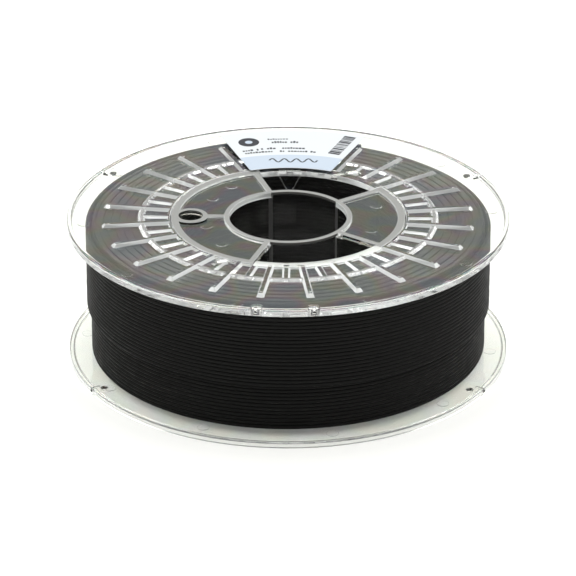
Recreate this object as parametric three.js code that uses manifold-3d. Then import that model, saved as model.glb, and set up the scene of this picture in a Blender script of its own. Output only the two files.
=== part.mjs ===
// A 200 mm clear plastic filament spool with black filament wound on it.
// Millimetres, +Z up. The spool lies on its lower flange, its axis on Z.
// Its origin is the middle of the base.
// Angles are in degrees, counted from +X towards +Y.

import * as THREE from 'three';
import { mergeVertices } from 'three/addons/utils/BufferGeometryUtils.js';
import Module from 'manifold-3d';

const wasm = await Module();
wasm.setup();

// ---- Driving dimensions ----

const SPOOL_RADIUS = 100;
const SPOOL_WIDTH = 67.5;
const BORE_RADIUS = 26.6;

// Flange, in its own frame: z = 0 is the face towards the filament, and z grows outwards.
const RIM_HEIGHT = 3.4;
const RIM_WIDTH = 2.2;
const PLATE_THICKNESS = 1.55;
const FACE_HEIGHT = 2.5; // top of the short ribs, the hub ring and the hub cover
const HUB_RING_INNER = 49.8;
const HUB_RING_OUTER = 53.1;
const COLLAR_WIDTH = 1.1; // flange wall round the hub ring, where the ribs start
const LADDER_FOOT = { inner: 64.7, outer: 68.0 }; // ring that joins the ribs, with leaning sides
const LADDER_TOP = { inner: 65.4, outer: 66.9 };
const LONG_RIB = { height: 3.0, footEnd: 84.4, topEnd: 83.0 };
const RIB_FOOT_WIDTH = 3.5;
const RIB_TOP_WIDTH = 1.8;
const RIB_COUNT = 24;

// Hub: five webs, three closed sectors and two open ones.
const WEB_COUNT = 5;
const SECTOR_ANGLE = 360 / WEB_COUNT;
const FIRST_WEB = 36;
const OPEN_SECTORS = [FIRST_WEB, FIRST_WEB + 3 * SECTOR_ANGLE];
const CLOSED_SECTORS = [FIRST_WEB + SECTOR_ANGLE, FIRST_WEB + 2 * SECTOR_ANGLE, FIRST_WEB + 4 * SECTOR_ANGLE];
const COVER_WEB_WIDTH = 3.0;
const BORE_RING_OUTER = 29.0;
const BORE_RING_THICKNESS = 1.2; // where an open sector lies beside the bore
const COVER_PLATE_BOTTOM = 0.4;
const COVER_PLATE_TOP = 1.6;
const EYE_RADIUS = 5.5;
const EYE_COLLAR_RADIUS = 7.9;
const EYE_DISTANCE = 44.1;
const EYE_ANGLE = 180;

// Core between the two flanges: a drum, and a web at each side of an open sector. The webs end near the bore.
const DRUM_INNER = 50.6;
const DRUM_OUTER = 52.8;
const WEB_INNER = 27.0;
const CORE_WEB_THICKNESS = 2.0;

// Snap tongues of the flanges, which hang in notches of the drum.
const TONGUE_ANGLES = [90, 270];
const TONGUE_LENGTH = 7.0;
const TONGUE_TOP_WIDTH = 10.4;
const TONGUE_TIP_WIDTH = 3.4;

// Passages for the filament's start, at the hub ring.
const START_ANGLES = [62, 242];
const START_TILT = 40; // the channel's turn away from the radius
const START_CHANNEL = 2.4;
const START_CHANNEL_BOTTOM = 0.3;
const START_CHANNEL_TOP = 2.2;
const HOOD_WIDTH = 5.0;
const HOOD_START = 1.7; // from the wall round the hub ring
const HOOD_END = 6.4;
const POCKET_DEPTH = 2.4; // how far the channel runs into a hub cover

// Holes at the rim that hold the filament's free end.
const PLATE_HOLE_RADIUS = 1.8;
const PLATE_HOLE_DISTANCE = 95;
const SIDE_HOLES = [{ plate: 149.4, rim: 151.2 }, { plate: 30.3, rim: 27.6 }];
const RIM_HOLE_RADIUS = 0.9;
const RIM_HOLE_HEIGHT = 1.6;
const FRONT_NOTCH_ANGLES = [262.6, 277.4];
const FRONT_NOTCH_RADIUS = 2.5;
const FRONT_NOTCH_DISTANCE = 95.7;

// Filament.
const FILAMENT_DIAMETER = 1.75;
const WINDING_RADIUS = 91.7;
const LAST_LAYER_DROP = 1.9; // the last layer isn't wound all the way down
const LAST_LAYER_BOTTOM = 25;

// Label.
const LABEL_INNER = 51.8;
const LABEL_OUTER = 95.0;
const LABEL_MIDDLE = 89.4;
const LABEL_HALF_ANGLE = 21;
const LABEL_THICKNESS = 0.2;
const LABEL_GAP = 0.1;

const GAP = 0.3; // between two separate pieces that touch
const STEP = 6; // degrees per facet of a large circle
const FACETS = 360 / STEP;
const LADDER_FACETS = 2 * RIB_COUNT; // one facet between two ribs
const SMALL_FACETS = 12;
const TUBE_FACETS = 8;
const TUBE_STEPS = 10;
const MERGE_TOLERANCE = 1e-4;
const SINK = 0.5; // how far a joined shape reaches into its neighbour
const OVERCUT = 2; // how far a cutting shape reaches past what it cuts

// ---- Shapes ----

const radians = (degrees) => THREE.MathUtils.degToRad(degrees);

const polar = (radius, degrees) => new THREE.Vector2(
  radius * Math.cos(radians(degrees)),
  radius * Math.sin(radians(degrees)),
);

// Turned shape: the profile is a closed list of [radius, z], anticlockwise with the radius to the right.
function turned(profile, facets = FACETS) {
  const points = [...profile, profile[0]].map(([radius, z]) => new THREE.Vector2(radius, z));
  return new THREE.LatheGeometry(points, facets).rotateX(Math.PI / 2);
}

function ring(inner, outer, bottom, top, facets = FACETS) {
  return turned([[inner, bottom], [outer, bottom], [outer, top], [inner, top]], facets);
}

// Point on the facets of a turned circle.
function onFacet(radius, degrees) {
  const fromMiddle = THREE.MathUtils.euclideanModulo(degrees, STEP) - STEP / 2;
  return polar((radius * Math.cos(radians(STEP / 2))) / Math.cos(radians(fromMiddle)), degrees);
}

// Piece of a ring from one angle to another, on the same facets as a full ring.
function sector(inner, outer, from, to, bottom, top) {
  const angles = [from];
  for (let angle = (Math.floor(from / STEP) + 1) * STEP; angle < to; angle += STEP) {
    angles.push(angle);
  }
  angles.push(to);
  const outside = angles.map((angle) => onFacet(outer, angle));
  const inside = angles.reverse().map((angle) => onFacet(inner, angle));
  return prism([...outside, ...inside], bottom, top);
}

function prism(outline, bottom, top) {
  const shape = new THREE.Shape(outline);
  const options = { depth: top - bottom, bevelEnabled: false };
  return new THREE.ExtrudeGeometry(shape, options).translate(0, 0, bottom);
}

// Solid with a flat outline at its foot and a smaller one, point for point, at its top.
function tapered(foot, footZ, top, topZ) {
  const count = foot.length;
  const corners = [
    ...foot.flatMap((point) => [point.x, point.y, footZ]),
    ...top.flatMap((point) => [point.x, point.y, topZ]),
  ];
  const faces = [];
  for (let i = 0; i < count; i += 1) {
    const next = (i + 1) % count;
    faces.push(i, next, count + next, i, count + next, count + i);
    if (i > 1) {
      faces.push(0, i, i - 1, count, count + i - 1, count + i);
    }
  }
  const geometry = new THREE.BufferGeometry();
  geometry.setAttribute('position', new THREE.Float32BufferAttribute(corners, 3));
  geometry.setIndex(faces);
  return geometry;
}

// Bar that lies along a radius.
function bar(angle, from, to, width, bottom, top) {
  return new THREE.BoxGeometry(to - from, width, top - bottom)
    .translate((from + to) / 2, 0, (bottom + top) / 2)
    .rotateZ(radians(angle));
}

function post(radius, angle, distance, bottom, top) {
  const centre = polar(distance, angle);
  return new THREE.CylinderGeometry(radius, radius, top - bottom, SMALL_FACETS)
    .rotateX(Math.PI / 2)
    .translate(centre.x, centre.y, (bottom + top) / 2);
}

// ---- Joining and cutting ----

function toSolid(geometry) {
  const bare = geometry.clone();
  bare.deleteAttribute('normal');
  bare.deleteAttribute('uv');
  const closed = mergeVertices(bare, MERGE_TOLERANCE);
  const mesh = new wasm.Mesh({
    numProp: 3,
    vertProperties: new Float32Array(closed.attributes.position.array),
    triVerts: new Uint32Array(closed.index.array),
  });
  return new wasm.Manifold(mesh);
}

function join(geometries) {
  return geometries.map(toSolid).reduce((whole, solid) => whole.add(solid));
}

function cut(solid, geometries) {
  return geometries.map(toSolid).reduce((rest, tool) => rest.subtract(tool), solid);
}

function toGeometry(solid) {
  const { vertProperties, triVerts } = solid.getMesh();
  const geometry = new THREE.BufferGeometry();
  geometry.setAttribute('position', new THREE.BufferAttribute(vertProperties, 3));
  geometry.setIndex(new THREE.BufferAttribute(triVerts, 1));
  geometry.computeVertexNormals();
  return geometry;
}

// ---- Flange ----

// Plate and rim are one turned shape, up to the wall where the ribs start.
function flangeDisc() {
  const rimInner = SPOOL_RADIUS - RIM_WIDTH;
  const wallInner = HUB_RING_OUTER + GAP;
  const wallOuter = wallInner + COLLAR_WIDTH;
  return turned([
    [wallInner, 0],
    [SPOOL_RADIUS, 0],
    [SPOOL_RADIUS, RIM_HEIGHT],
    [rimInner, RIM_HEIGHT],
    [rimInner, PLATE_THICKNESS],
    [wallOuter, PLATE_THICKNESS],
    [wallOuter, FACE_HEIGHT],
    [wallInner, FACE_HEIGHT],
  ]);
}

// Rib along a radius, with leaning sides and a leaning outer end.
function rib(angle, footEnd, topEnd, top) {
  const start = HUB_RING_OUTER + GAP + COLLAR_WIDTH / 2;
  const outline = (end, width) => [
    new THREE.Vector2(start, -width / 2),
    new THREE.Vector2(end, -width / 2),
    new THREE.Vector2(end, width / 2),
    new THREE.Vector2(start, width / 2),
  ];
  const lean = SINK / (top - PLATE_THICKNESS); // the sides run on into the plate
  const foot = outline(
    THREE.MathUtils.lerp(topEnd, footEnd, 1 + lean),
    THREE.MathUtils.lerp(RIB_TOP_WIDTH, RIB_FOOT_WIDTH, 1 + lean),
  );
  return tapered(foot, PLATE_THICKNESS - SINK, outline(topEnd, RIB_TOP_WIDTH), top).rotateZ(radians(angle));
}

// Long ribs and short ribs take turns, half a rib pitch apart.
function flangeRibs() {
  const pitch = 360 / RIB_COUNT;
  const ladder = (LADDER_TOP.inner + LADDER_TOP.outer) / 2;
  const ribs = [];
  for (let i = 0; i < RIB_COUNT; i += 1) {
    ribs.push(rib(i * pitch + pitch / 2, LONG_RIB.footEnd, LONG_RIB.topEnd, LONG_RIB.height));
    ribs.push(rib(i * pitch, ladder, ladder, FACE_HEIGHT));
  }
  return ribs;
}

function ladderRing() {
  return turned([
    [LADDER_FOOT.inner, PLATE_THICKNESS - SINK],
    [LADDER_FOOT.outer, PLATE_THICKNESS - SINK],
    [LADDER_FOOT.outer, PLATE_THICKNESS],
    [LADDER_TOP.outer, FACE_HEIGHT],
    [LADDER_TOP.inner, FACE_HEIGHT],
    [LADDER_FOOT.inner, PLATE_THICKNESS],
  ], LADDER_FACETS);
}

// Hub ring of the flange beside an open sector. The hub cover fills the rest of the circle.
function flangeHubRing(openSector) {
  return sector(HUB_RING_INNER, HUB_RING_OUTER + GAP + SINK, openSector + coverMargin(),
    openSector + SECTOR_ANGLE - coverMargin(), 0, FACE_HEIGHT);
}

// Angle from a web's middle to where the flange's own hub ring starts.
function coverMargin() {
  return THREE.MathUtils.radToDeg((COVER_WEB_WIDTH / 2 + GAP) / HUB_RING_INNER);
}

// Half width of a snap tongue at a depth below the flange.
function tongueHalfWidth(depth) {
  return THREE.MathUtils.lerp(TONGUE_TOP_WIDTH, TONGUE_TIP_WIDTH, depth / TONGUE_LENGTH) / 2;
}

// Tapered tongue, or the notch round it when it is grown by a clearance.
function tongue(angle, clearance, inner, outer) {
  const length = TONGUE_LENGTH + clearance;
  const top = tongueHalfWidth(0) + clearance;
  const tip = tongueHalfWidth(TONGUE_LENGTH) + clearance;
  const outline = [
    new THREE.Vector2(-tip, -length),
    new THREE.Vector2(tip, -length),
    new THREE.Vector2(top, SINK),
    new THREE.Vector2(-top, SINK),
  ];
  return prism(outline, inner, outer)
    .rotateX(Math.PI / 2)
    .rotateZ(radians(angle + 90));
}

// Box on the slanted line that the filament's start follows.
// The line leaves the hub ring's outside at this angle.
function startBox(angle, from, to, width, bottom, top) {
  const centre = polar(HUB_RING_OUTER + GAP, angle);
  return new THREE.BoxGeometry(to - from, width, top - bottom)
    .translate((from + to) / 2, 0, (bottom + top) / 2)
    .rotateZ(radians(angle - START_TILT))
    .translate(centre.x, centre.y, 0);
}

function startHood(angle) {
  return startBox(angle, HOOD_START, HOOD_END, HOOD_WIDTH, PLATE_THICKNESS - SINK, LONG_RIB.height);
}

function startChannel(angle) {
  const from = -(HUB_RING_OUTER - HUB_RING_INNER + OVERCUT) / Math.cos(radians(START_TILT));
  return startBox(angle, from, HOOD_END + OVERCUT, START_CHANNEL, START_CHANNEL_BOTTOM, START_CHANNEL_TOP);
}

// Opening in the plate under the hood.
function startMouth(angle) {
  return startBox(angle, HOOD_START, HOOD_END, START_CHANNEL, -OVERCUT, START_CHANNEL_TOP);
}

// Hole that runs in from the outside of the rim.
function rimHole(angle, inner) {
  const length = SPOOL_RADIUS + OVERCUT - inner;
  return new THREE.CylinderGeometry(RIM_HOLE_RADIUS, RIM_HOLE_RADIUS, length, SMALL_FACETS)
    .rotateZ(Math.PI / 2)
    .translate(inner + length / 2, 0, RIM_HOLE_HEIGHT)
    .rotateZ(radians(angle));
}

function rimCuts() {
  const rimInner = SPOOL_RADIUS - RIM_WIDTH;
  const side = SIDE_HOLES.flatMap((hole) => [
    post(PLATE_HOLE_RADIUS, hole.plate, PLATE_HOLE_DISTANCE, -OVERCUT, PLATE_THICKNESS + OVERCUT),
    rimHole(hole.rim, rimInner - OVERCUT),
  ]);
  const front = FRONT_NOTCH_ANGLES.flatMap((angle) => [
    post(FRONT_NOTCH_RADIUS, angle, FRONT_NOTCH_DISTANCE, -OVERCUT, FACE_HEIGHT),
    rimHole(angle, FRONT_NOTCH_DISTANCE),
  ]);
  return [...side, ...front];
}

function flange() {
  const body = join([
    flangeDisc(),
    ladderRing(),
    ...flangeRibs(),
    ...OPEN_SECTORS.map(flangeHubRing),
    ...START_ANGLES.map(startHood),
    ...TONGUE_ANGLES.map((angle) => tongue(angle, 0, DRUM_INNER, DRUM_OUTER)),
  ]);
  return toGeometry(cut(body, [
    ...START_ANGLES.map(startChannel),
    ...START_ANGLES.map(startMouth),
    ...rimCuts(),
  ]));
}

// ---- Hub cover ----

// Bore ring, webs, closed sectors and the eye, with the hub ring beside each closed sector.
function hubCover() {
  const webStart = (BORE_RADIUS + BORE_RING_OUTER) / 2;
  const webs = Array.from({ length: WEB_COUNT }, (_, i) => (
    bar(FIRST_WEB + i * SECTOR_ANGLE, webStart, HUB_RING_INNER + SINK, COVER_WEB_WIDTH, 0, FACE_HEIGHT)
  ));
  const closed = closedSpans().flatMap(({ from, to }) => [
    sector(HUB_RING_INNER, HUB_RING_OUTER, from, to, 0, FACE_HEIGHT),
    sector(webStart, HUB_RING_INNER + SINK, from, to, COVER_PLATE_BOTTOM, COVER_PLATE_TOP),
    sector(BORE_RADIUS, BORE_RING_OUTER, from, to, 0, FACE_HEIGHT),
  ]);
  const body = join([
    ring(BORE_RADIUS, BORE_RING_OUTER, FACE_HEIGHT - BORE_RING_THICKNESS, FACE_HEIGHT),
    ...webs,
    ...closed,
    post(EYE_COLLAR_RADIUS, EYE_ANGLE, EYE_DISTANCE, 0, FACE_HEIGHT),
  ]);
  const eye = post(EYE_RADIUS, EYE_ANGLE, EYE_DISTANCE, -OVERCUT, FACE_HEIGHT + OVERCUT);
  const pocket = startBox(START_ANGLES[1], -POCKET_DEPTH, OVERCUT, START_CHANNEL, START_CHANNEL_BOTTOM,
    START_CHANNEL_TOP);
  return toGeometry(cut(body, [eye, pocket]));
}

// Each stretch of closed sectors runs from one web's far side to the next open sector's web.
function closedSpans() {
  const margin = THREE.MathUtils.radToDeg((COVER_WEB_WIDTH / 2) / HUB_RING_INNER);
  return CLOSED_SECTORS.map((start) => ({ from: start - margin, to: start + SECTOR_ANGLE + margin }));
}

// ---- Core ----

function hubCore() {
  const bottom = RIM_HEIGHT + GAP;
  const top = SPOOL_WIDTH - RIM_HEIGHT - GAP;
  const webEnd = (DRUM_INNER + DRUM_OUTER) / 2;
  const body = join([
    ring(DRUM_INNER, DRUM_OUTER, bottom, top),
    ...OPEN_SECTORS.flatMap((start) => [start, start + SECTOR_ANGLE]).map((angle) => (
      bar(angle, WEB_INNER, webEnd, CORE_WEB_THICKNESS, bottom, top)
    )),
  ]);
  const notches = TONGUE_ANGLES.flatMap((angle) => {
    const notch = () => tongue(angle, GAP, DRUM_INNER - OVERCUT, DRUM_OUTER + OVERCUT);
    return [
      notch().translate(0, 0, SPOOL_WIDTH - RIM_HEIGHT),
      notch().rotateX(Math.PI).translate(0, 0, RIM_HEIGHT),
    ];
  });
  return toGeometry(cut(body, notches));
}

// ---- Filament ----

function filamentWinding() {
  const inner = DRUM_OUTER + GAP;
  const bottom = RIM_HEIGHT + GAP;
  const top = SPOOL_WIDTH - RIM_HEIGHT - GAP;
  return turned([
    [inner, bottom],
    [WINDING_RADIUS - LAST_LAYER_DROP, bottom],
    [WINDING_RADIUS - LAST_LAYER_DROP, LAST_LAYER_BOTTOM],
    [WINDING_RADIUS, LAST_LAYER_BOTTOM],
    [WINDING_RADIUS, top],
    [inner, top],
  ]);
}

// The filament's start runs in from the winding to the inside of the hub,
// through the lower flange's channel.
// Its route is given along the channel and up towards the winding.
function filamentStart() {
  const height = RIM_HEIGHT - (START_CHANNEL_TOP + START_CHANNEL_BOTTOM) / 2;
  const along = [-7.5, -4, 0, 2.4, 3.8, 4.2];
  const lift = [0, 0, 0, 0.05, 0.5, 1.2];
  const points = along.map((distance, i) => new THREE.Vector3(distance, 0, lift[i]));
  const path = new THREE.CatmullRomCurve3(points);
  const corners = Array.from({ length: TUBE_FACETS }, (_, i) => (
    polar(FILAMENT_DIAMETER / 2, (i * 360) / TUBE_FACETS)
  ));
  const angle = -START_ANGLES[0];
  const centre = polar(HUB_RING_OUTER + GAP, angle);
  return new THREE.ExtrudeGeometry(new THREE.Shape(corners), { steps: TUBE_STEPS, extrudePath: path })
    .rotateZ(radians(angle + START_TILT))
    .translate(centre.x, centre.y, height);
}

// ---- Label ----

function label() {
  const bottom = LONG_RIB.height + LABEL_GAP;
  return sector(LABEL_INNER, LABEL_OUTER, LABEL_MIDDLE - LABEL_HALF_ANGLE, LABEL_MIDDLE + LABEL_HALF_ANGLE,
    bottom, bottom + LABEL_THICKNESS);
}

// ---- Assembly ----

const MATERIALS = {
  clear: { color: 0xe9eeee, roughness: 0.06, metalness: 0 },
  frosted: { color: 0xbcbfbd, roughness: 0.55, metalness: 0 },
  filament: { color: 0x1b1b1b, roughness: 0.42, metalness: 0 },
  paper: { color: 0xeef2f8, roughness: 0.6, metalness: 0 },
};

function piece(name, geometry, material) {
  const mesh = new THREE.Mesh(geometry, new THREE.MeshStandardMaterial(MATERIALS[material]));
  mesh.name = name;
  return mesh;
}

// Both ends of the spool are the same mouldings, turned over about X so that their open sectors line up.
const upperEnd = new THREE.Group();
upperEnd.position.z = SPOOL_WIDTH - RIM_HEIGHT;
upperEnd.add(
  piece('upper_flange', flange(), 'clear'),
  piece('upper_hub_cover', hubCover(), 'frosted'),
  piece('label', label(), 'paper'),
);

const lowerEnd = new THREE.Group();
lowerEnd.position.z = RIM_HEIGHT;
lowerEnd.rotation.x = Math.PI;
lowerEnd.add(
  piece('lower_flange', flange(), 'clear'),
  piece('lower_hub_cover', hubCover(), 'frosted'),
);

const spool = new THREE.Group();
spool.name = 'filament_spool';
spool.add(
  lowerEnd,
  piece('hub_core', hubCore(), 'clear'),
  piece('filament_winding', filamentWinding(), 'filament'),
  piece('filament_start', filamentStart(), 'filament'),
  upperEnd,
);

export default spool;
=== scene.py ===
"""A clear plastic filament spool with black filament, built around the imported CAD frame, in metres."""
import math
import random

import bmesh
import bpy
from mathutils import Matrix, Vector


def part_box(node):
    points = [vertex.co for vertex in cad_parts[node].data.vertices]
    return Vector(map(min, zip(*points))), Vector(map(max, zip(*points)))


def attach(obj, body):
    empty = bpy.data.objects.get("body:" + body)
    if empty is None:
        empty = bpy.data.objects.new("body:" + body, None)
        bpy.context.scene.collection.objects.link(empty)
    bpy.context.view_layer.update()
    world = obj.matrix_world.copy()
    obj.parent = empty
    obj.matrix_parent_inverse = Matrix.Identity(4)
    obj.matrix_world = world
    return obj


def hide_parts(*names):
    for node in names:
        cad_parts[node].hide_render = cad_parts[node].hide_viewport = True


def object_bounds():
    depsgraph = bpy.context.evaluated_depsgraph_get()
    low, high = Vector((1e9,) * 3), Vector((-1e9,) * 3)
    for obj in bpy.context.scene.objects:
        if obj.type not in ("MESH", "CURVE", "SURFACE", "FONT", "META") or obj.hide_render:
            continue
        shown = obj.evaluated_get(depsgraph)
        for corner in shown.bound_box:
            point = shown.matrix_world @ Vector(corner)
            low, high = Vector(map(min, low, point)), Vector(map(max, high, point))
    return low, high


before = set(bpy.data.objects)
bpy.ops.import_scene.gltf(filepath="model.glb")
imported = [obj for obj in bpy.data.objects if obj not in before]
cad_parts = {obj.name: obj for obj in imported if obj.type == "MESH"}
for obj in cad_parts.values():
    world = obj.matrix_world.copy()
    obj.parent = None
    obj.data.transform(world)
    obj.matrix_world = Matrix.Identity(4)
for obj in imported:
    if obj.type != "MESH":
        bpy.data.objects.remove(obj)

CAD_LOW, CAD_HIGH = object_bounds()
MM = 0.001

# ---- Sizes from the frame ----

CORE_LOW, CORE_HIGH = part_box("hub_core")
COVER_LOW, COVER_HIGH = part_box("upper_hub_cover")
WINDING_LOW, WINDING_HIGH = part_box("filament_winding")
LABEL_LOW, LABEL_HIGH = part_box("label")

SPOOL_RADIUS = CAD_HIGH.x
SPOOL_WIDTH = CAD_HIGH.z
FLANGE_Z = COVER_LOW.z  # the face towards the filament of the upper flange
RIM_HEIGHT = SPOOL_WIDTH - FLANGE_Z
FACE_HEIGHT = COVER_HIGH.z - COVER_LOW.z
HUB_RING_OUTER = -COVER_LOW.x
DRUM_OUTER = CORE_HIGH.x
WINDING_RADIUS = WINDING_HIGH.x

# ---- Sizes of features ----

GAP = 0.3 * MM  # between two separate pieces that touch
RIM_WIDTH = 2.2 * MM
PLATE = 1.55 * MM  # thickness of the flange's plate
HUB_RING_INNER = HUB_RING_OUTER - 3.3 * MM
COLLAR_WIDTH = 1.1 * MM  # flange wall round the hub ring, where the ribs start
LADDER_FOOT = (64.7 * MM, 68.0 * MM)  # inner and outer radius of the ring that joins the ribs
LADDER_TOP = (65.4 * MM, 66.9 * MM)
RIB_FOOT_END = 84.4 * MM
RIB_TOP_END = 83.0 * MM
RIB_FOOT = 3.5 * MM  # width at the foot
RIB_TOP = 1.8 * MM
RIB_HEIGHT = 3.0 * MM  # height of the long ribs' tops over the flange's inner face
RIB_COUNT = 24
WEB_COUNT = 5
SECTOR = 360 / WEB_COUNT
FIRST_WEB = 36
OPEN_SECTORS = (FIRST_WEB, FIRST_WEB + 3 * SECTOR)
CLOSED_SECTORS = (FIRST_WEB + SECTOR, FIRST_WEB + 2 * SECTOR, FIRST_WEB + 4 * SECTOR)
COVER_WEB_WIDTH = 3.0 * MM
BORE = 26.6 * MM
BORE_RING_OUTER = 29.0 * MM
BORE_RING_THICKNESS = 1.2 * MM  # where an open sector lies beside the bore
COVER_PLATE_BOTTOM = 0.4 * MM
COVER_PLATE_TOP = 1.6 * MM
EYE_RADIUS = 5.5 * MM
EYE_COLLAR = 7.9 * MM
EYE_DISTANCE = 44.1 * MM
EYE_ANGLE = 180
DRUM_INNER = DRUM_OUTER - 2.2 * MM
WEB_INNER = 27.0 * MM
CORE_WEB = 2.0 * MM
TONGUE_ANGLES = (90, 270)
TONGUE_LENGTH = 7.0 * MM
TONGUE_TOP = 10.4 * MM  # widths
TONGUE_TIP = 3.4 * MM
START_ANGLES = (62, 242)  # passages for the filament's start, at the hub ring
START_TILT = 40  # the channel's turn away from the radius
START_CHANNEL = 2.4 * MM
CHANNEL_BOTTOM = 0.3 * MM
CHANNEL_TOP = 2.2 * MM
HOOD_WIDTH = 5.0 * MM
HOOD_START = 1.7 * MM
HOOD_END = 6.4 * MM
HOOD_STEPS = 16
POCKET_DEPTH = 2.4 * MM  # how far the channel runs into a hub cover
PLATE_HOLE = 1.8 * MM
PLATE_HOLE_DISTANCE = 95 * MM
SIDE_HOLES = ((149.4, 151.2), (30.3, 27.6))  # angle of the hole in the plate, and of the one in the rim
RIM_HOLE = 0.9 * MM
RIM_HOLE_HEIGHT = 1.6 * MM
NOTCH_ANGLES = (262.6, 277.4)  # the wide holes at the front
NOTCH_RADIUS = 2.5 * MM
NOTCH_DISTANCE = 95.7 * MM
NOTCH_LIP = 0.8 * MM
MARK_RADIUS = 2.7 * MM  # round marks of the ejector pins
MARK_RISE = 0.25 * MM
MARK_DISTANCE = 92.5 * MM
MARK_ANGLES = tuple(257 + 36 * i for i in range(10))
RIB_MARK_RADIUS = 0.6 * MM
RIB_MARK_FROM_END = 1.6 * MM
PANE_MARKS = ((150, 40), (196, 38), (225, 41), (128, 43), (340, 40), (18, 42))  # angle and distance in mm
FILAMENT = 1.75 * MM
LAST_LAYER_DROP = 1.9 * MM
LAST_LAYER_BOTTOM = 25 * MM  # the last layer isn't wound all the way down
LABEL_INNER = 51.8 * MM
LABEL_OUTER = 95.0 * MM
LABEL_MIDDLE = 89.4
LABEL_HALF_ANGLE = 21

ROUND = 0.3 * MM  # radius of a moulded edge
RIM_ROUND = 0.7 * MM
RIM_FOOT_ROUND = 0.4 * MM
LADDER_ROUND = 0.2 * MM
TONGUE_ROUND = 0.8 * MM
COVER_DRAFT = 0.08  # how far the hub cover's walls lean in, as a share of their height
EDGE_STEPS = 3
FINE = 240  # facets of a large circle
ARC_STEP = 1.5  # degrees per facet of a stretch of a ring
SINK = 0.4 * MM  # how far a joined shape reaches into its neighbour
OVERCUT = 2 * MM  # how far a cutting shape reaches past what it cuts
LEAST_SPREAD = 0.3  # keeps the corners of an inset outline from running away
MERGE_DISTANCE = 0.002 * MM
SHARP_ANGLE = 35
NEAR = 0.2 * MM  # how far past a radius a face's centre may lie to count as on it
SKIM = 0.02 * MM  # the same for a height

random.seed(7)


# ---- Camera ----

VIEW_AZIMUTH = 0.8
VIEW_ELEVATION = 25.5
VIEW_DISTANCE = 1.9652
VIEW_HEIGHT = 30.43 * MM
VIEW_ASIDE = -0.05 * MM
VIEW_LIMIT = 20
LENS = 269.5
SENSOR = 36


def make_camera():
    data = bpy.data.cameras.new("camera")
    data.lens = LENS
    data.sensor_width = SENSOR
    data.clip_end = VIEW_LIMIT
    camera = bpy.data.objects.new("camera", data)
    bpy.context.scene.collection.objects.link(camera)
    azimuth = math.radians(VIEW_AZIMUTH)
    elevation = math.radians(VIEW_ELEVATION)
    back = Vector((
        math.sin(azimuth) * math.cos(elevation),
        -math.cos(azimuth) * math.cos(elevation),
        math.sin(elevation),
    ))
    camera.location = Vector((VIEW_ASIDE, 0, VIEW_HEIGHT)) + VIEW_DISTANCE * back
    camera.rotation_euler = back.to_track_quat("Z", "Y").to_euler()
    bpy.context.scene.camera = camera


make_camera()


# ---- Outlines ----

def polar(radius, degrees):
    angle = math.radians(degrees)
    return Vector((radius * math.cos(angle), radius * math.sin(angle)))


def rounded(points, radius=ROUND, steps=EDGE_STEPS, sharp=(), radii=None):
    """The closed outline with an arc at each corner, but none at those in sharp.

    radii gives single corners a radius of their own.
    """
    out = []
    count = len(points)
    for i, point in enumerate(points):
        here = Vector(point)
        if i in sharp:
            out.append(here)
            continue
        bend = (radii or {}).get(i, radius)
        before = (Vector(points[i - 1]) - here).normalized()
        after = (Vector(points[(i + 1) % count]) - here).normalized()
        half = before.angle(after) / 2
        reach = bend / math.tan(half)
        centre = here + (before + after).normalized() * bend / math.sin(half)
        start = here + before * reach - centre
        end = here + after * reach - centre
        turn = start.angle_signed(end)
        for k in range(steps + 1):
            out.append(centre + Matrix.Rotation(-turn * k / steps, 2) @ start)
    return out


def inset(outline, distance):
    """The anticlockwise outline moved inwards by a distance."""
    out = []
    count = len(outline)
    for i, here in enumerate(outline):
        before = (here - outline[i - 1]).normalized()
        after = (outline[(i + 1) % count] - here).normalized()
        normal = Vector((-before.y - after.y, before.x + after.x)).normalized()
        spread = normal.dot(Vector((-after.y, after.x)))
        out.append(here + normal * distance / max(spread, LEAST_SPREAD))
    return out


def arc_outline(inner, outer, start, end):
    """A stretch of a flat ring, anticlockwise."""
    count = max(2, round((end - start) / ARC_STEP))
    angles = [start + (end - start) * i / count for i in range(count + 1)]
    return [polar(outer, a) for a in angles] + [polar(inner, a) for a in reversed(angles)]


def circle(radius, centre=(0, 0), steps=48):
    return [Vector(centre) + polar(radius, 360 * i / steps) for i in range(steps)]


# ---- Solids ----

def new_object(name, data):
    piece = bpy.data.objects.new(name, data)
    bpy.context.scene.collection.objects.link(piece)
    return piece


def from_faces(name, vertices, faces):
    mesh = bpy.data.meshes.new(name)
    mesh.from_pydata([tuple(v) for v in vertices], [], faces)
    solid = bmesh.new()
    solid.from_mesh(mesh)
    bmesh.ops.recalc_face_normals(solid, faces=solid.faces)
    solid.to_mesh(mesh)
    solid.free()
    return new_object(name, mesh)


def turned(profile, facets=FINE):
    """A solid of revolution about Z. The profile is a closed outline of (radius, z)."""
    rows = len(profile)
    vertices = [
        (*polar(radius, 360 * k / facets), z)
        for k in range(facets)
        for radius, z in profile
    ]
    faces = []
    for k in range(facets):
        here = k * rows
        there = ((k + 1) % facets) * rows
        for i in range(rows):
            j = (i + 1) % rows
            faces.append((here + i, there + i, there + j, here + j))
    return from_faces("turned", vertices, faces)


def ring(inner, outer, bottom, top, sharp=(0, 1)):
    return turned(rounded([(inner, bottom), (outer, bottom), (outer, top), (inner, top)], sharp=sharp))


def stacked(levels):
    """A solid whose outline changes with height.

    levels is a list of (outline, z), with equally many points in each outline.
    """
    count = len(levels[0][0])
    vertices = [(*point, z) for outline, z in levels for point in outline]
    faces = [tuple(range(count))[::-1], tuple(range(len(vertices) - count, len(vertices)))]
    for level in range(len(levels) - 1):
        low = level * count
        for i in range(count):
            j = (i + 1) % count
            faces.append((low + i, low + j, low + count + j, low + count + i))
    return from_faces("stacked", vertices, faces)


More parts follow.
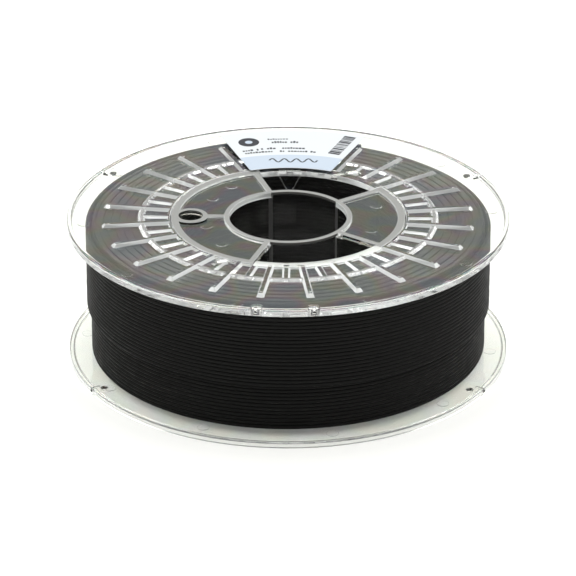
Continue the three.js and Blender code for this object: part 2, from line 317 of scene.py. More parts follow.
def prism(outline, bottom, top, radius=ROUND, draft=0.0):
    """An extruded outline with a rounded top edge.

    draft is how far the sides lean in, as a share of the height.
    """
    lean = draft * (top - bottom)
    if not radius:
        return stacked([(outline, bottom), (inset(outline, lean), top)])
    levels = [(outline, bottom)]
    for k in range(EDGE_STEPS + 1):
        turn = math.pi / 2 * k / EDGE_STEPS
        distance = lean + radius * (1 - math.cos(turn))
        levels.append((inset(outline, distance), top - radius + radius * math.sin(turn)))
    return stacked(levels)


def box_outline(x_from, x_to, width):
    half = width / 2
    return [Vector(p) for p in ((x_from, -half), (x_to, -half), (x_to, half), (x_from, half))]


def moved(solid, matrix):
    solid.data.transform(matrix)
    return solid


def turn_z(degrees):
    return Matrix.Rotation(math.radians(degrees), 4, "Z")


def placed_up(solid):
    """From a flange's own frame to the upper end of the spool."""
    return moved(solid, Matrix.Translation((0, 0, FLANGE_Z)))


def placed_down(solid):
    """From a flange's own frame to the lower end, turned over about X."""
    return moved(solid, Matrix.Translation((0, 0, RIM_HEIGHT)) @ Matrix.Rotation(math.pi, 4, "X"))


def bar(angle, start, end, width, bottom, top, draft=0.0):
    """A bar along a radius."""
    return moved(prism(box_outline(start, end, width), bottom, top, draft=draft), turn_z(angle))


def post(radius, angle, distance, bottom, top, edge=0.0):
    return prism(circle(radius, polar(distance, angle)), bottom, top, edge)


def boolean(base, operation, others):
    """Joins the other solids to the base or cuts them out of it, one by one, and deletes them."""
    for other in others:
        step = base.modifiers.new(operation, "BOOLEAN")
        step.solver = "MANIFOLD"
        step.operation = operation
        step.object = other
        bake_modifiers(base)
        bpy.data.meshes.remove(other.data)


def evaluated_mesh(piece):
    graph = bpy.context.evaluated_depsgraph_get()
    return bpy.data.meshes.new_from_object(piece.evaluated_get(graph))


def bake_modifiers(piece):
    mesh = evaluated_mesh(piece)
    old = piece.data
    piece.modifiers.clear()
    piece.data = mesh
    bpy.data.meshes.remove(old)


def finished(piece, name):
    """Smooth shading with sharp edges kept, and flat faces kept flat."""
    piece.name = name
    piece.data.name = name
    solid = bmesh.new()
    solid.from_mesh(piece.data)
    bmesh.ops.remove_doubles(solid, verts=solid.verts, dist=MERGE_DISTANCE)
    bmesh.ops.dissolve_degenerate(solid, edges=solid.edges, dist=MERGE_DISTANCE)
    solid.to_mesh(piece.data)
    solid.free()
    piece.data.shade_smooth()
    piece.data.set_sharp_from_angle(angle=math.radians(SHARP_ANGLE))
    weighted = piece.modifiers.new("normals", "WEIGHTED_NORMAL")
    weighted.keep_sharp = True
    weighted.weight = 100
    bake_modifiers(piece)
    return piece


# ---- Materials ----

PLASTIC_IOR = 1.57
NOISE_RANGE = (0.3, 0.7)  # most of a noise texture's values


def principled(name, colour, roughness, **sockets):
    material = bpy.data.materials.new(name)
    material.use_nodes = True
    shader = material.node_tree.nodes["Principled BSDF"]
    shader.inputs["Base Color"].default_value = (*colour, 1)
    shader.inputs["Roughness"].default_value = roughness
    for socket, value in sockets.items():
        shader.inputs[socket.replace("_", " ")].default_value = value
    return material


def noise_node(material, size, detail=2.0):
    """Noise with features of a size in metres, fixed to the object."""
    tree = material.node_tree
    place = tree.nodes.new("ShaderNodeTexCoord")
    noise = tree.nodes.new("ShaderNodeTexNoise")
    noise.inputs["Scale"].default_value = 1 / size
    noise.inputs["Detail"].default_value = detail
    tree.links.new(place.outputs["Object"], noise.inputs["Vector"])
    return noise


def mapped(tree, value, low, high, to_low, to_high):
    """A value spread from one range to another, with its ends held."""
    spread = tree.nodes.new("ShaderNodeMapRange")
    spread.inputs["From Min"].default_value = low
    spread.inputs["From Max"].default_value = high
    spread.inputs["To Min"].default_value = to_low
    spread.inputs["To Max"].default_value = to_high
    tree.links.new(value, spread.inputs["Value"])
    return spread.outputs["Result"]


def add_bump(material, size, height, detail=2.0):
    """Gives the surface bumps of a size and a height."""
    tree = material.node_tree
    noise = noise_node(material, size, detail)
    bump = tree.nodes.new("ShaderNodeBump")
    bump.inputs["Distance"].default_value = height
    tree.links.new(noise.outputs["Fac"], bump.inputs["Height"])
    tree.links.new(bump.outputs["Normal"], tree.nodes["Principled BSDF"].inputs["Normal"])


def add_range(material, socket, size, low, high, detail=2.0):
    """Lets a value of the shader wander between two limits over the surface."""
    tree = material.node_tree
    noise = noise_node(material, size, detail)
    wandering = mapped(tree, noise.outputs["Fac"], *NOISE_RANGE, low, high)
    tree.links.new(wandering, tree.nodes["Principled BSDF"].inputs[socket])


def make_clear(name, colour, ior):
    """Clear plastic with a slightly uneven surface."""
    material = principled(name, colour, 0.03, Transmission_Weight=1.0, IOR=ior)
    add_bump(material, 12 * MM, 0.003 * MM, detail=0.0)
    add_range(material, "Roughness", 12 * MM, 0.01, 0.03, detail=0.0)
    return material


def make_plate_clear():
    """Clear plastic with the faint coloured patches that moulding stress gives."""
    material = make_clear("clear_plastic", (0.87, 0.88, 0.84), PLASTIC_IOR)
    material.node_tree.nodes["Principled BSDF"].inputs["Thin Film IOR"].default_value = 1.49
    add_range(material, "Thin Film Thickness", 14 * MM, 380, 600, detail=0.0)
    return material


def make_painted_shade_plastic():
    """Clear plastic tinted nearly black as painted shade, for the walls that look into the dark inside of
    the hub.
    """
    return principled("painted_shade_plastic", (0.06, 0.06, 0.058), 0.1, Transmission_Weight=1.0, IOR=1.2)


def make_grained():
    """Plastic of the leaning sides of ribs and webs, which are half matt."""
    colour = (0.9, 0.92, 0.935)
    material = principled("grained_plastic", colour, 0.3, Transmission_Weight=0.52, IOR=PLASTIC_IOR)
    add_bump(material, 2.5 * MM, 0.006 * MM)
    add_range(material, "Roughness", 3 * MM, 0.12, 0.2)
    return material


def make_ladder():
    """Plastic of the ladder ring's sides, which catch the light in long pale pieces."""
    material = principled("ladder_plastic", (0.87, 0.88, 0.89), 0.14, Transmission_Weight=0.77, IOR=1.52)
    add_range(material, "Roughness", 8 * MM, 0.11, 0.17, detail=0.0)
    return material


def make_rim():
    """Plastic of the rim's outside, which is wavy."""
    colour = (0.95, 0.96, 0.965)
    material = principled("rim_plastic", colour, 0.15, Transmission_Weight=0.88, IOR=PLASTIC_IOR)
    add_bump(material, 6 * MM, 0.06 * MM, detail=0.0)
    add_range(material, "Roughness", 8 * MM, 0.03, 0.07, detail=0.0)
    return material


def make_frosted(name, colour):
    """Matt plastic with a fine texture."""
    material = principled(name, colour, 0.55)
    add_bump(material, 0.25 * MM, 0.02 * MM)
    return material


def make_filament(name, gloss, roughness, grain):
    """Black plastic. roughness is its two limits, and grain the height of its fine unevenness."""
    material = principled(name, (0.010, 0.010, 0.0098), 0.45, Specular_IOR_Level=gloss)
    add_bump(material, 0.5 * MM, grain)
    add_range(material, "Roughness", 4 * MM, *roughness)
    return material


def make_paper(name, colour):
    material = principled(name, colour, 0.45, Specular_IOR_Level=0.15)
    add_bump(material, 0.4 * MM, 0.004 * MM)
    return material


clear_plastic = make_plate_clear()
core_plastic = make_clear("core_plastic", (0.93, 0.93, 0.92), 1.2)
ladder_plastic = make_ladder()
# painted shade: clear plastic tinted nearly black for the dark walls of the eye and bore
painted_shade_plastic = make_painted_shade_plastic()
grained_plastic = make_grained()
rim_plastic = make_rim()
frosted_plastic = make_frosted("frosted_plastic", (0.22, 0.223, 0.22))
# painted shade: matt plastic painted nearly black for the webs' inner ends in the dark bore
painted_shade_frosted_plastic = make_frosted("painted_shade_frosted_plastic", (0.06, 0.06, 0.06))
black_filament = make_filament("black_filament", 0.045, (0.38, 0.52), 0.01 * MM)
wound_end = make_filament("wound_end", 0.25, (0.11, 0.15), 0.0)
label_paper = make_paper("label_paper", (0.62, 0.65, 0.69))
label_blue = make_paper("label_blue", (0.45, 0.52, 0.62))
label_ink = make_paper("label_ink", (0.014, 0.017, 0.026))


def dressed(piece, materials, chooser=None):
    """Gives the piece its materials. The chooser picks one for each face from its centre and normal."""
    piece.data.materials.clear()
    for material in materials:
        piece.data.materials.append(material)
    if chooser:
        for face in piece.data.polygons:
            face.material_index = materials.index(chooser(face.center, face.normal))
    return piece


def facing_axis(centre, normal):
    """How far a face looks towards or away from the spool's axis, from 0 to 1."""
    return abs(normal.xy.normalized().dot(centre.xy.normalized()))


# ---- Flange, with z = 0 at its face towards the filament ----

WALL_INNER = HUB_RING_OUTER + GAP
WALL_OUTER = WALL_INNER + COLLAR_WIDTH
RIM_INNER = SPOOL_RADIUS - RIM_WIDTH
RIB_EDGE = ((0.85, 0.85), (0.94, 0.95), (1.05, 1))  # shares of a rib's lean and of its height
FLANGE_PLASTICS = [clear_plastic, grained_plastic, rim_plastic, ladder_plastic]
# Limits on a face's normal: how much of it points up, or towards or away from the axis.
LEVEL = 0.93
LEANING = 0.1
WALL = 0.6
TONGUE_EDGE = 0.7
LADDER_SIDE = 0.9


def flange_disc():
    """Plate and rim, up to the wall where the ribs start."""
    return turned(rounded([
        (WALL_INNER, 0),
        (SPOOL_RADIUS, 0),
        (SPOOL_RADIUS, RIM_HEIGHT),
        (RIM_INNER, RIM_HEIGHT),
        (RIM_INNER, PLATE),
        (WALL_OUTER, PLATE),
        (WALL_OUTER, FACE_HEIGHT),
        (WALL_INNER, FACE_HEIGHT),
    ], sharp=(0,), steps=4, radii={2: RIM_ROUND, 3: RIM_ROUND, 4: RIM_FOOT_ROUND}))


def rib(angle, foot_end, top_end, top):
    """A rib along a radius, with leaning sides, a leaning outer end and a rounded top edge."""
    start = (WALL_INNER + WALL_OUTER) / 2

    def level(share, height):
        width = RIB_FOOT + (RIB_TOP - RIB_FOOT) * share
        end = foot_end + (top_end - foot_end) * share
        return rounded(box_outline(start, end, width), sharp=(0, 3)), height

    levels = [level(0, PLATE - SINK), level(0, PLATE)]
    for lean, rise in RIB_EDGE:
        levels.append(level(lean, PLATE + (top - PLATE) * rise))
    return moved(stacked(levels), turn_z(angle))


def flange_ribs():
    """Long ribs and short ribs take turns, half a rib pitch apart."""
    pitch = 360 / RIB_COUNT
    ladder = sum(LADDER_TOP) / 2
    ribs = []
    for i in range(RIB_COUNT):
        ribs.append(rib(i * pitch + pitch / 2, RIB_FOOT_END, RIB_TOP_END, RIB_HEIGHT))
        ribs.append(rib(i * pitch, ladder, ladder, FACE_HEIGHT))
    return ribs


def ladder_ring():
    """The low ring that joins the ribs."""
    profile = [
        (LADDER_FOOT[0], PLATE),
        (LADDER_FOOT[0], PLATE - SINK),
        (LADDER_FOOT[1], PLATE - SINK),
        (LADDER_FOOT[1], PLATE),
        (LADDER_TOP[1], FACE_HEIGHT),
        (LADDER_TOP[0], FACE_HEIGHT),
    ]
    return turned(rounded(profile, LADDER_ROUND, sharp=(0, 1, 2, 3)))


def cover_margin():
    """Angle from a web's middle to the start of the flange's own hub ring."""
    return math.degrees((COVER_WEB_WIDTH / 2 + GAP) / HUB_RING_INNER)


def flange_hub_ring(open_sector):
    """The flange's own stretch of the hub ring, beside an open sector."""
    start = open_sector + cover_margin()
    end = open_sector + SECTOR - cover_margin()
    return prism(arc_outline(HUB_RING_INNER, WALL_INNER + SINK, start, end), 0, FACE_HEIGHT)


def tongue(angle, clearance, inner, outer):
    """Tapered snap tongue that hangs below the flange, or the notch round it."""
    length = TONGUE_LENGTH + clearance
    top = TONGUE_TOP / 2 + clearance
    tip = TONGUE_TIP / 2 + clearance
    corners = [(-tip, -length), (tip, -length), (top, SINK), (-top, SINK)]
    solid = prism(rounded(corners, TONGUE_ROUND, sharp=(2, 3)), inner, outer, 0)
    moved(solid, Matrix.Rotation(math.pi / 2, 4, "X"))
    return moved(solid, turn_z(angle + 90))


def on_start_line(angle):
    """Place of the slanted line that the filament's start follows out of the hub ring."""
    return Matrix.Translation((*polar(WALL_INNER, angle), 0)) @ turn_z(angle - START_TILT)


def start_box(angle, start, end, bottom, top):
    """A stretch of the filament's channel along its slanted line."""
    return moved(prism(box_outline(start, end, START_CHANNEL), bottom, top, 0), on_start_line(angle))


def start_hood(angle):
    """A half-round hood over the channel, like half a pipe lying on the plate."""
    half = HOOD_WIDTH / 2
    rise = RIB_HEIGHT - PLATE
    arch = [Vector((-half, -SINK)), Vector((half, -SINK))]
    for k in range(HOOD_STEPS + 1):
        turn = math.pi * k / HOOD_STEPS
        arch.append(Vector((half * math.cos(turn), rise * math.sin(turn))))
    solid = prism(arch, HOOD_START, HOOD_END, 0)
    upright = Matrix(((0, 0, 1, 0), (1, 0, 0, 0), (0, 1, 0, PLATE), (0, 0, 0, 1)))
    return moved(solid, on_start_line(angle) @ upright)


def start_cuts(angle):
    """The channel through the hub ring and the hood, and its mouth in the plate."""
    deep = -(HUB_RING_OUTER - HUB_RING_INNER + OVERCUT) / math.cos(math.radians(START_TILT))
    return [
        start_box(angle, deep, HOOD_END + OVERCUT, CHANNEL_BOTTOM, CHANNEL_TOP),
        start_box(angle, HOOD_START, HOOD_END, -OVERCUT, CHANNEL_TOP),
    ]


def rim_hole(angle, inner):
    """A small hole that runs in from the outside of the rim."""
    solid = prism(circle(RIM_HOLE, steps=24), inner, SPOOL_RADIUS + OVERCUT, 0)
    along_x = Matrix.Rotation(math.pi / 2, 4, "Y")
    return moved(solid, turn_z(angle) @ Matrix.Translation((0, 0, RIM_HOLE_HEIGHT)) @ along_x)


def notch_collar(angle):
    """The raised lip round one of the wide holes at the front."""
    return post(NOTCH_RADIUS + NOTCH_LIP, angle, NOTCH_DISTANCE, PLATE - SINK, PLATE + NOTCH_LIP, ROUND)


def ejector_mark(angle, distance, surface):
    """A faint round pad that an ejector pin leaves on a flat face."""
    return post(MARK_RADIUS, angle, distance, surface - SINK, surface + MARK_RISE, MARK_RISE / 2)


def rib_end_mark(angle):
    """A small pad near the end of a long rib."""
    distance = RIB_TOP_END - RIB_MARK_FROM_END
    return post(RIB_MARK_RADIUS, angle, distance, RIB_HEIGHT - SINK, RIB_HEIGHT + MARK_RISE, MARK_RISE / 2)


def rim_cuts():
    """Holes at the rim that hold the filament's free end."""
    cuts = []
    for plate_angle, rim_angle in SIDE_HOLES:
        cuts.append(post(PLATE_HOLE, plate_angle, PLATE_HOLE_DISTANCE, -OVERCUT, PLATE + OVERCUT))
        cuts.append(rim_hole(rim_angle, RIM_INNER - OVERCUT))
    for angle in NOTCH_ANGLES:
        cuts.append(post(NOTCH_RADIUS, angle, NOTCH_DISTANCE, -OVERCUT, FACE_HEIGHT))
        cuts.append(rim_hole(angle, NOTCH_DISTANCE))
    return cuts


def make_flange(name):
    body = flange_disc()
    parts = [ladder_ring(), *flange_ribs()]
    parts += [flange_hub_ring(sector) for sector in OPEN_SECTORS]
    parts += [start_hood(angle) for angle in START_ANGLES]
    parts += [tongue(angle, 0, DRUM_INNER, DRUM_OUTER) for angle in TONGUE_ANGLES]
    parts += [notch_collar(angle) for angle in NOTCH_ANGLES]
    parts += [ejector_mark(angle, MARK_DISTANCE, PLATE) for angle in MARK_ANGLES]
    parts += [rib_end_mark((i + 0.5) * 360 / RIB_COUNT) for i in range(RIB_COUNT)]
    boolean(body, "UNION", parts)
    boolean(body, "DIFFERENCE", rim_cuts())
    for angle in START_ANGLES:
        boolean(body, "DIFFERENCE", start_cuts(angle))
    return dressed(finished(body, name), FLANGE_PLASTICS, flange_face)


def flange_face(centre, normal):
    """The sides of ribs, hub rings and tongues are grained.

    The rim's outside and the ladder ring's sides have plastics of their own.
    """
    radius = centre.xy.length
    if radius > SPOOL_RADIUS - RIM_WIDTH / 2:
        return rim_plastic if abs(normal.z) < WALL else clear_plastic
    if centre.z < 0:
        return grained_plastic if facing_axis(centre, normal) < TONGUE_EDGE else clear_plastic
    if radius < HUB_RING_INNER + NEAR:
        return grained_plastic if normal.z < LEVEL else clear_plastic
    if radius > RIB_FOOT_END + MM or centre.z < PLATE + SKIM:
        return clear_plastic
    if LADDER_FOOT[0] < radius < LADDER_FOOT[1] and facing_axis(centre, normal) > LADDER_SIDE:
        return ladder_plastic
    return grained_plastic if LEANING < normal.z < LEVEL else clear_plastic


# ---- Hub cover, with z = 0 at its face towards the filament ----

COVER_WEB_START = (BORE + BORE_RING_OUTER) / 2
COVER_PLASTICS = [clear_plastic, frosted_plastic, grained_plastic, painted_shade_plastic]
COVER_LEVEL = 0.9
COVER_LEANING = 0.02


def cover_web(angle):
    end = HUB_RING_INNER + SINK
    return bar(angle, COVER_WEB_START, end, COVER_WEB_WIDTH, 0, FACE_HEIGHT, COVER_DRAFT)


def closed_sector(sector):
    """The hub ring, the thicker bore ring and the pane between them, over one sector."""
    margin = math.degrees(COVER_WEB_WIDTH / 2 / HUB_RING_INNER)
    span = (sector - margin, sector + SECTOR + margin)
    hub_ring = arc_outline(HUB_RING_INNER - SINK, HUB_RING_OUTER, *span)
    bore_ring = arc_outline(BORE, BORE_RING_OUTER, *span)
    pane = arc_outline(COVER_WEB_START, HUB_RING_INNER + SINK, *span)
    return [
        prism(hub_ring, 0, FACE_HEIGHT, draft=COVER_DRAFT),
        prism(bore_ring, 0, FACE_HEIGHT),
        prism(pane, COVER_PLATE_BOTTOM, COVER_PLATE_TOP, 0),
    ]


def make_cover(name):
    """Bore ring, webs, closed sectors and the eye, with the hub ring beside each closed sector."""
    body = ring(BORE, BORE_RING_OUTER, FACE_HEIGHT - BORE_RING_THICKNESS, FACE_HEIGHT)
    parts = [cover_web(FIRST_WEB + i * SECTOR) for i in range(WEB_COUNT)]
    for sector in CLOSED_SECTORS:
        parts += closed_sector(sector)
    parts.append(post(EYE_COLLAR, EYE_ANGLE, EYE_DISTANCE, 0, FACE_HEIGHT, ROUND))
    parts += [ejector_mark(angle, distance * MM, COVER_PLATE_TOP) for angle, distance in PANE_MARKS]
    boolean(body, "UNION", parts)
    boolean(body, "DIFFERENCE", [
        post(EYE_RADIUS, EYE_ANGLE, EYE_DISTANCE, -OVERCUT, FACE_HEIGHT + OVERCUT),
        start_box(START_ANGLES[1], -POCKET_DEPTH, OVERCUT, CHANNEL_BOTTOM, CHANNEL_TOP),
    ])
    return dressed(finished(body, name), COVER_PLASTICS, cover_face)


def in_open_sector(point):
    angle = math.degrees(math.atan2(point.y, point.x))
    return any(0 < (angle - start) % 360 < SECTOR for start in OPEN_SECTORS)


def cover_face(centre, normal):
    """Tops are frosted, leaning sides and the bore's wall are grained, and the panes are clear.

    The eye's wall and the sides of the bore ring at an open sector get the plastic tinted nearly black as
    painted shade.
    """
    if centre.z > FACE_HEIGHT - NEAR / 2 and normal.z > COVER_LEVEL:
        return frosted_plastic
    # painted shade on the eye's wall and on the bore ring's sides at an open sector
    if (centre.xy - polar(EYE_DISTANCE, EYE_ANGLE)).length < EYE_RADIUS + NEAR / 2:
        return painted_shade_plastic
    if centre.xy.length < BORE_RING_OUTER + NEAR and in_open_sector(centre):
        return painted_shade_plastic
    if centre.xy.length < BORE + NEAR:
        return grained_plastic
    leaning = COVER_LEANING < normal.z < COVER_LEVEL
    return grained_plastic if leaning and centre.z > COVER_PLATE_TOP else clear_plastic


# ---- Core ----

def notch(angle):
    return tongue(angle, GAP, DRUM_INNER - OVERCUT, DRUM_OUTER + OVERCUT)


def make_core(name):
    """A drum, with a web at each side of an open sector and a notch for each tongue."""
    bottom, top = CORE_LOW.z, CORE_HIGH.z
    body = ring(DRUM_INNER, DRUM_OUTER, bottom, top, sharp=())
    web_end = (DRUM_INNER + DRUM_OUTER) / 2
    for sector in OPEN_SECTORS:
        sides = (sector, sector + SECTOR)
        boolean(body, "UNION", [bar(angle, WEB_INNER, web_end, CORE_WEB, bottom, top) for angle in sides])
    for angle in TONGUE_ANGLES:
        boolean(body, "DIFFERENCE", [placed_up(notch(angle)), placed_down(notch(angle))])
    return dressed(finished(body, name), [core_plastic, painted_shade_frosted_plastic], core_face)


def core_face(centre, normal):
    """The webs' inner ends are matt plastic painted nearly black, as painted shade inside the bore."""
    return painted_shade_frosted_plastic if centre.xy.length < WEB_INNER + CORE_WEB / 2 else core_plastic


# ---- Winding ----

TURN_STEPS = 120
STRAND_SIDES = 10
TURNS = 34
PITCH = (WINDING_HIGH.z - WINDING_LOW.z) / TURNS
STRAND_RADIUS = 0.95 * MM  # a little over half the pitch, so that neighbours press into each other
LAYER_STEP = 1.755 * MM
LAYER_SINK = 0.35 * MM  # how much lower every second layer ends
BUMP_POINTS = 5
RIDGE_POINTS = 4
BODY_FACETS = 180
WANDER = 0.05 * MM  # unevenness of the wound strand
WANDER_WAVES = ((0.5, 2.1), (0.3, 5.3), (0.2, 11.7))  # share of the whole, and radians per turn
UPRIGHT_PHASE = 1.7  # sets the strand's wander in height apart from that in radius
END_FACING = 0.3  # least upright part of the normal of a face at the winding's end


def wander(turns, phase):
    """Small smooth unevenness along the strand."""
    waves = enumerate(WANDER_WAVES, 1)
    return WANDER * sum(share * math.sin(rate * turns + i * phase) for i, (share, rate) in waves)


def strand(radius, z_start, z_end, phase):
    """A stretch of filament wound as a helix at a radius, between two heights of its middle line."""
    turns = abs(z_end - z_start) / PITCH
    steps = round(turns * TURN_STEPS)
    slope = PITCH / (2 * math.pi * radius) * (1 if z_end > z_start else -1)
    vertices = []
    for k in range(steps + 1):
        turned_by = turns * k / steps
        angle = 2 * math.pi * turned_by + phase
        outward = Vector((math.cos(angle), math.sin(angle), 0))
        along = Vector((-math.sin(angle), math.cos(angle), slope)).normalized()
        aside = outward.cross(along)
        distance = radius + wander(turned_by, phase)
        z = z_start + (z_end - z_start) * k / steps + wander(turned_by, phase + UPRIGHT_PHASE)
        middle = outward * distance + Vector((0, 0, z))
        for i in range(STRAND_SIDES):
            turn = 2 * math.pi * (i + 0.5) / STRAND_SIDES
            vertices.append(middle + STRAND_RADIUS * (math.cos(turn) * outward + math.sin(turn) * aside))
    faces = [tuple(range(STRAND_SIDES)), tuple(range(len(vertices) - STRAND_SIDES, len(vertices)))]
    for k in range(steps):
        low = k * STRAND_SIDES
        for i in range(STRAND_SIDES):
            j = (i + 1) % STRAND_SIDES
            faces.append((low + i, low + j, low + STRAND_SIDES + j, low + STRAND_SIDES + i))
    return from_faces("strand", vertices, faces)


def bumps(first, last, z, outward):
    """Tops of the layers at an end of the winding, as a row of arcs of (radius, z)."""
    count = round((last - first) / LAYER_STEP)
    step = (last - first) / count
    points = []
    for layer in range(count):
        middle = first + (layer + 0.5) * step
        sink = 0 if layer % 2 else LAYER_SINK
        for k in range(BUMP_POINTS):
            turn = math.pi * (k + 0.5) / BUMP_POINTS
            points.append((
                middle - step / 2 * math.cos(turn),
                z - outward * (FILAMENT / 2 * (1 - math.sin(turn)) + sink),
            ))
    return points


def ridges(radius):
    """Turns of the first layer, seen through the drum, as a row of arcs of (radius, z) from the top down."""
    points = []
    for i in range(TURNS):
        middle = WINDING_HIGH.z - (i + 0.5) * PITCH
        for k in range(RIDGE_POINTS):
            turn = math.pi * (k + 0.5) / RIDGE_POINTS
            points.append((
                radius + FILAMENT / 2 * (1 - math.sin(turn)),
                middle + PITCH / 2 * math.cos(turn),
            ))
    return points


def winding_body():
    """All layers under the last two, as one turned solid."""
    inner = DRUM_OUTER + GAP
    outer = WINDING_RADIUS - LAST_LAYER_DROP - FILAMENT / 2
    low, high = WINDING_LOW.z, WINDING_HIGH.z
    profile = bumps(inner, outer, low, -1) + bumps(inner, outer, high, 1)[::-1] + ridges(inner)
    return turned(profile, BODY_FACETS)


def make_winding(name):
    """The inner layers, with the last two wound on them as real strands."""
    low, high = WINDING_LOW.z + FILAMENT / 2, WINDING_HIGH.z - FILAMENT / 2
    outer = WINDING_RADIUS - STRAND_RADIUS
    under = outer - LAST_LAYER_DROP
    body = winding_body()
    strands = [
        strand(outer, high, LAST_LAYER_BOTTOM + FILAMENT / 2, phase=1.2),
        strand(under, low, LAST_LAYER_BOTTOM + 3 * FILAMENT, phase=2.9),
    ]
    join_meshes(body, strands)
    body.name = name
    body.data.name = name
    body.data.shade_smooth()
    return dressed(body, [black_filament, wound_end], winding_face)


def winding_face(centre, normal):
    """The layers at both ends are glossier, where the flanges have pressed them smooth."""
    at_end = abs(normal.z) > END_FACING and centre.xy.length < WINDING_RADIUS - 2 * FILAMENT
    return wound_end if at_end else black_filament


def join_meshes(base, others):
    solid = bmesh.new()
    for piece in [base, *others]:
        solid.from_mesh(piece.data)
    solid.to_mesh(base.data)
    solid.free()
    for other in others:
        bpy.data.meshes.remove(other.data)
    return base


# ---- The filament's start, in the lower flange's channel ----

START_ALONG = (-7.5, -4, 0, 2.4, 3.8, 4.2)  # mm along the channel from the hub ring's outside
START_LIFT = (0, 0, 0, 0.05, 0.5, 1.2)  # mm up towards the winding


def make_start(name):
    """The strand's first stretch, from the inside of the hub to the foot of the winding."""
    data = bpy.data.curves.new(name, "CURVE")
    data.dimensions = "3D"
    data.bevel_depth = FILAMENT / 2
    data.bevel_resolution = 6
    data.use_fill_caps = True
    line = data.splines.new("NURBS")
    line.points.add(len(START_ALONG) - 1)
    line.order_u = 4
    line.use_endpoint_u = True
    line.resolution_u = 12
    angle = -START_ANGLES[0]
    centre = polar(WALL_INNER, angle)
    height = RIM_HEIGHT - (CHANNEL_TOP + CHANNEL_BOTTOM) / 2
    place = Matrix.Translation((*centre, height)) @ turn_z(angle + START_TILT)
    for point, along, lift in zip(line.points, START_ALONG, START_LIFT):
        point.co = (*(place @ Vector((along * MM, 0, lift * MM))), 1)
    return dressed(baked_curve(new_object(name, data)), [black_filament])


def baked_curve(piece):
    """The curve as a mesh object with the same name."""
    mesh = evaluated_mesh(piece)
    name = piece.name
    bpy.data.objects.remove(piece)
    return new_object(name, mesh)


# ---- Label ----

PRINT_THICKNESS = 0.02 * MM
LABEL_CORNER = 0.6 * MM
DISC_CENTRE = Vector((-19.6 * MM, 80.9 * MM))
DISC_RADIUS = 4.9 * MM
KNOB_RADIUS = 0.36 * DISC_RADIUS
BAND_OUTER = 66.8 * MM
BAND_EDGE = 0.3 * MM
TEXT_ROWS = (  # radius and height in mm, and the angles where the row starts and ends
    (85.2, 1.4, 97.3, 91.5),
    (81.6, 2.2, 97.0, 87.8),
    (73.9, 1.8, 107.5, 102.0),
    (74.6, 2.0, 100.6, 85.0),
    (71.0, 1.7, 107.2, 97.2),
    (71.0, 1.7, 93.9, 79.3),
)
CODE_START = Vector((20.2 * MM, 67.7 * MM))
CODE_END = Vector((27.7 * MM, 87.1 * MM))
CODE_WIDTH = 5.7 * MM
CODE_BARS = (0.4, 0.8, 1.4)  # widths in mm, picked at random
CODE_GAPS = (0.4, 0.4, 0.8)
STROKE_WIDTHS = (0.7, 1.2)  # least and largest, in mm
STROKE_GAP = 0.4
STROKE_HEIGHTS = (0.5, 0.5, 1.0)  # shares of the upper half of the row, picked at random
STROKE_SHARE = 0.85  # the rest are spaces
WAVE_FROM, WAVE_TO, WAVE_MIDDLE = -9.6 * MM, 12.8 * MM, 60.2 * MM
WAVES = 4
WAVE_RISE = 1.9 * MM
WAVE_HALF_WIDTH = 0.4 * MM
WAVE_STEPS = 120


def label_outline(inner, outer):
    return arc_outline(inner, outer, LABEL_MIDDLE - LABEL_HALF_ANGLE, LABEL_MIDDLE + LABEL_HALF_ANGLE)


def make_label(name):
    outline = rounded(label_outline(LABEL_INNER, LABEL_OUTER), LABEL_CORNER)
    piece = prism(outline, LABEL_LOW.z, LABEL_HIGH.z, 0)
    return dressed(finished(piece, name), [label_paper])


def printed(outline, layer):
    """A flat printed shape on the label. Higher layers lie over lower ones."""
    bottom = LABEL_HIGH.z + layer * PRINT_THICKNESS
    return prism(outline, bottom, bottom + PRINT_THICKNESS, 0)


def make_band(name):
    """The pale blue band at the label's inner edge, and the middle of the disc."""
    band = printed(label_outline(LABEL_INNER + BAND_EDGE, BAND_OUTER), 0)
    knob = printed(circle(KNOB_RADIUS, DISC_CENTRE), 2)
    return dressed(finished(join_meshes(band, [knob]), name), [label_blue])


def text_marks(radius, height, start, end):
    """A row of small upright strokes in place of lettering."""
    marks = []
    angle = start
    while angle > end:
        turn = math.degrees(random.uniform(*STROKE_WIDTHS) / radius)
        if random.random() < STROKE_SHARE:
            low = radius - height / 2
            high = radius + height / 2 * random.choice(STROKE_HEIGHTS)
            marks.append(printed(arc_outline(low * MM, high * MM, angle - turn, angle), 1))
        angle -= turn + math.degrees(STROKE_GAP / radius)
    return marks


def code_bars():
    """Bars across a block, one after another along its length."""
    run = CODE_END - CODE_START
    place = Matrix.Translation((*CODE_START, 0)) @ Matrix.Rotation(math.atan2(run.y, run.x), 4, "Z")
    bars = []
    along = 0.0
    while along < run.length:
        width = random.choice(CODE_BARS) * MM
        bars.append(moved(printed(box_outline(along, along + width, CODE_WIDTH), 1), place))
        along += width + random.choice(CODE_GAPS) * MM
    return bars


def wave_mark():
    """A wavy line with a steady thickness."""
    length = WAVE_TO - WAVE_FROM
    upper, lower = [], []
    for k in range(WAVE_STEPS + 1):
        share = k / WAVE_STEPS
        turn = 2 * math.pi * WAVES * share
        slope = WAVE_RISE * 2 * math.pi * WAVES / length * math.cos(turn)
        across = Vector((-slope, 1)).normalized() * WAVE_HALF_WIDTH
        middle = Vector((WAVE_FROM + length * share, WAVE_MIDDLE + WAVE_RISE * math.sin(turn)))
        upper.append(middle + across)
        lower.append(middle - across)
    return printed(lower + upper[::-1], 1)


def make_print(name):
    """All the dark marks: disc, rows of strokes, code and wave."""
    marks = [printed(circle(DISC_RADIUS, DISC_CENTRE), 1)]
    for row in TEXT_ROWS:
        marks += text_marks(*row)
    marks += code_bars()
    marks.append(wave_mark())
    return dressed(finished(join_meshes(marks[0], marks[1:]), name), [label_ink])


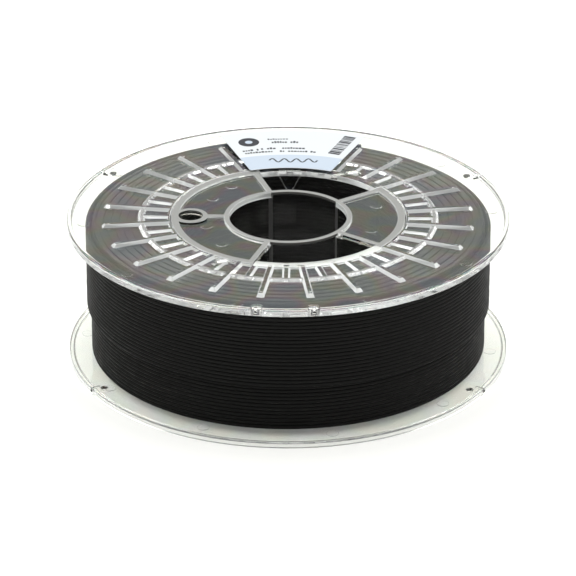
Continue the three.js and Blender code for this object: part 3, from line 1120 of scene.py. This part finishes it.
# ---- The pieces ----

def put(piece, body, node, clear=False):
    """Hangs a piece on its body in place of a CAD node. A clear piece lets the light through."""
    piece.visible_shadow = not clear
    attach(piece, body)
    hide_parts(node)


put(placed_up(make_flange("upper_flange_moulding")),
    "upper_end", "upper_flange", clear=True)
put(placed_down(make_flange("lower_flange_moulding")),
    "wound_core", "lower_flange", clear=True)
put(make_core("hub_core_moulding"), "wound_core", "hub_core", clear=True)
put(placed_up(make_cover("upper_hub_cover_moulding")),
    "upper_end", "upper_hub_cover", clear=True)
put(placed_down(make_cover("lower_hub_cover_moulding")),
    "wound_core", "lower_hub_cover", clear=True)
put(make_winding("wound_filament"), "wound_core", "filament_winding")
put(make_start("start_of_filament"), "wound_core", "filament_start")
put(make_label("label_sheet"), "upper_end", "label")
put(make_band("label_band"), "upper_end", "label")
put(make_print("label_marks"), "upper_end", "label")


# ---- Floor and light ----

FLOOR_HALF = 6  # metres
FLOOR_DROP = 0.1 * MM
FLOOR_GLOW = 0.17  # brings the floor up to the photo's white
ROOM_LIGHT = (0.15, 0.66)  # in front and at the back
ROOM_SPREAD = (-1, 0.6)  # places on the unit sphere, from front to back
BANK_LIGHT = 3.7
BANK_FRONT = 0.12  # share of the bank's light that is left in front
BANK_SIDES = (-0.55, -0.1)
BANK_FOOT = (0.47, 0.55)  # heights on the unit sphere where the bank fades in and out
BANK_HEAD = (0.78, 0.86)
LIGHT_TONE = (1, 1, 0.965)
LIGHT_BOUNCES = 48  # enough for the clear plastic's many surfaces
GLOSSY_BOUNCES = 12


def make_floor():
    mesh = bpy.data.meshes.new("floor")
    corners = box_outline(-FLOOR_HALF, FLOOR_HALF, 2 * FLOOR_HALF)
    mesh.from_pydata([(*corner, 0) for corner in corners], [], [(0, 1, 2, 3)])
    floor = new_object("floor", mesh)
    white = principled(
        "floor", (0.9, 0.9, 0.9), 0.9, Emission_Color=(1, 1, 1, 1), Emission_Strength=FLOOR_GLOW)
    floor.data.materials.append(white)
    floor.location.z = -FLOOR_DROP


def combined(tree, operation, first, second):
    """Two values added or multiplied."""
    node = tree.nodes.new("ShaderNodeMath")
    node.operation = operation
    tree.links.new(first, node.inputs[0])
    tree.links.new(second, node.inputs[1])
    return node.outputs["Value"]


def make_world():
    """A room that is darker in front, with a wide bank of soft light half way up, at the back and sides."""
    world = bpy.data.worlds.new("studio")
    world.use_nodes = True
    tree = world.node_tree
    direction = tree.nodes.new("ShaderNodeTexCoord")
    split = tree.nodes.new("ShaderNodeSeparateXYZ")
    tree.links.new(direction.outputs["Generated"], split.inputs[0])
    ahead, up = split.outputs["Y"], split.outputs["Z"]
    room = mapped(tree, ahead, *ROOM_SPREAD, *ROOM_LIGHT)
    band = combined(
        tree, "MULTIPLY",
        mapped(tree, up, *BANK_FOOT, 0, BANK_LIGHT),
        mapped(tree, up, *BANK_HEAD, 1, 0),
    )
    bank = combined(tree, "MULTIPLY", band, mapped(tree, ahead, *BANK_SIDES, BANK_FRONT, 1))
    tone = tree.nodes.new("ShaderNodeVectorMath")
    tone.operation = "SCALE"
    tone.inputs[0].default_value = LIGHT_TONE
    tree.links.new(combined(tree, "ADD", room, bank), tone.inputs["Scale"])
    tree.links.new(tone.outputs["Vector"], tree.nodes["Background"].inputs["Color"])
    bpy.context.scene.world = world


make_floor()
make_world()
bpy.context.scene.view_settings.view_transform = "Standard"
bpy.context.scene.cycles.max_bounces = LIGHT_BOUNCES
bpy.context.scene.cycles.transmission_bounces = LIGHT_BOUNCES
bpy.context.scene.cycles.glossy_bounces = GLOSSY_BOUNCES
